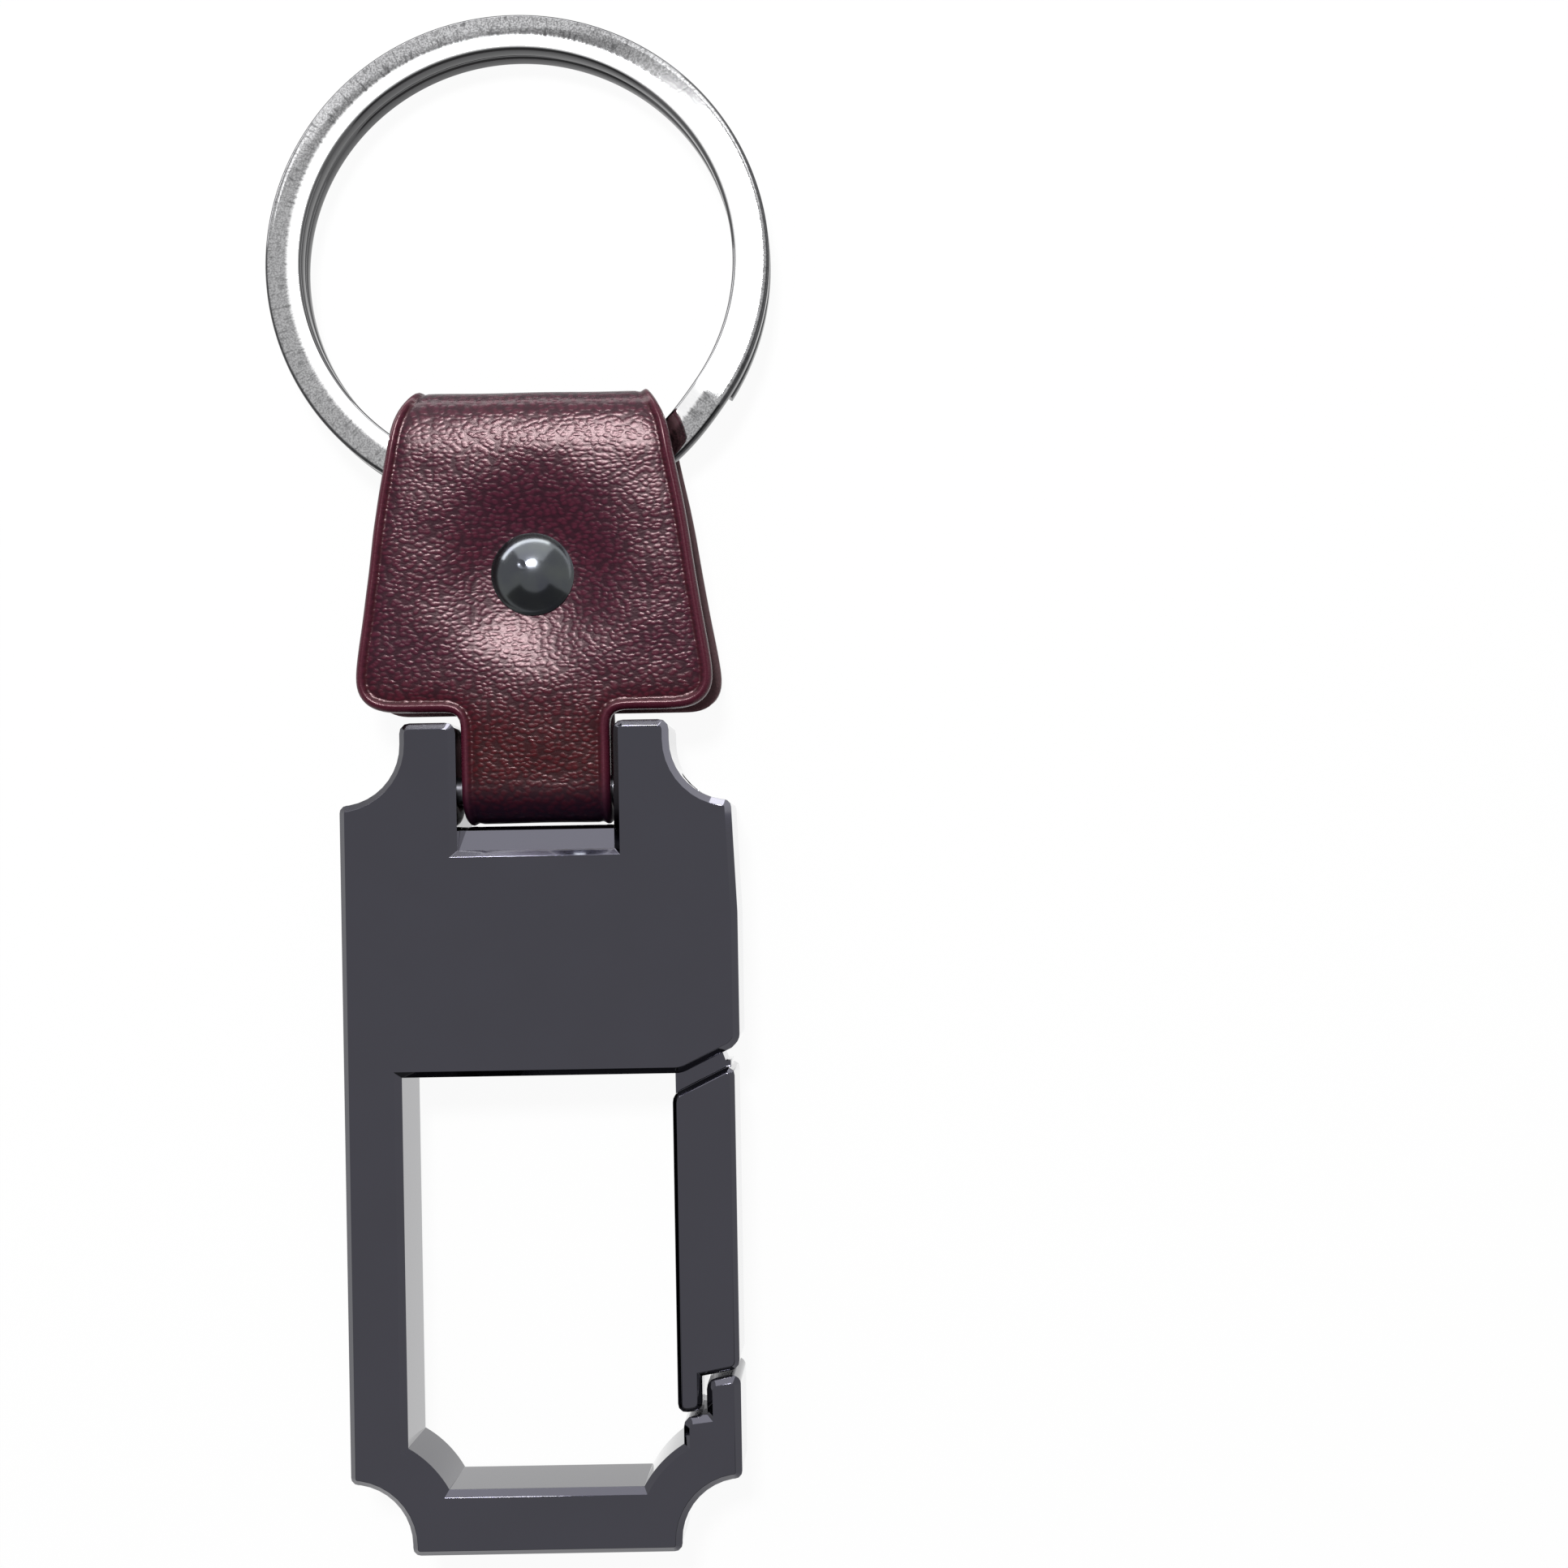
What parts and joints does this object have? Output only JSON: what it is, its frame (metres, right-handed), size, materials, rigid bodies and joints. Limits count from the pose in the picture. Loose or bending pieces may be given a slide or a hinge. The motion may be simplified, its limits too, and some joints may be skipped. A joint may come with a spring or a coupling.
{
  "type": "leather keychain",
  "caption": "Flat metal snap hook with a sprung gate, joined by a folded and riveted leather strap to a split ring for keys.",
  "frame": {"origin": "on the rear face of the snap hook, at the centre of its solid panel", "axes": "+Y along the keychain towards the split ring, +X to the right seen from the front, where the gate is, +Z out of the front face"},
  "size_m": [0.032, 0.0973, 0.0055],
  "materials": {
    "black_nickel": "polished dark nickel plate on zinc",
    "steel": "bright steel, lightly worn",
    "spring_steel": "plain spring wire",
    "pin_steel": "bright drawn steel",
    "leather": "burgundy pebbled leather with painted edges",
    "gunmetal": "polished dark rivet"
  },
  "bodies": {
    "hook": {"carabiner_body": "black_nickel", "gate_pin": "pin_steel", "gate_spring": "spring_steel", "strap_bar": "steel"},
    "gate": {"gate": "black_nickel"},
    "strap": {"leather_strap": "leather", "rivet_cap": "gunmetal", "rivet_base": "gunmetal"},
    "ring": {"split_ring": "steel"}
  },
  "joints": [
    {"name": "gate_hinge", "type": "hinge", "parent": "hook", "child": "gate", "pos_m": [0.0057, 0.00465, 0.0026], "axis": [0, 0, -1], "range_deg": [0, 18], "stiffness_Nm_per_rad": 0.04, "springref_deg": -14.32, "deforming": ["gate_spring"]},
    {"name": "strap_swing", "type": "hinge", "parent": "hook", "child": "strap", "pos_m": [0, 0.01085, 0.0026], "axis": [1, 0, 0], "range_deg": [-90, 90]},
    {"name": "ring_swing", "type": "hinge", "parent": "strap", "child": "ring", "pos_m": [-0.0009, 0.02972, 0.0026], "axis": [1, 0, 0], "range_deg": [-40, 40], "deforming": ["leather_strap"]}
  ]
}
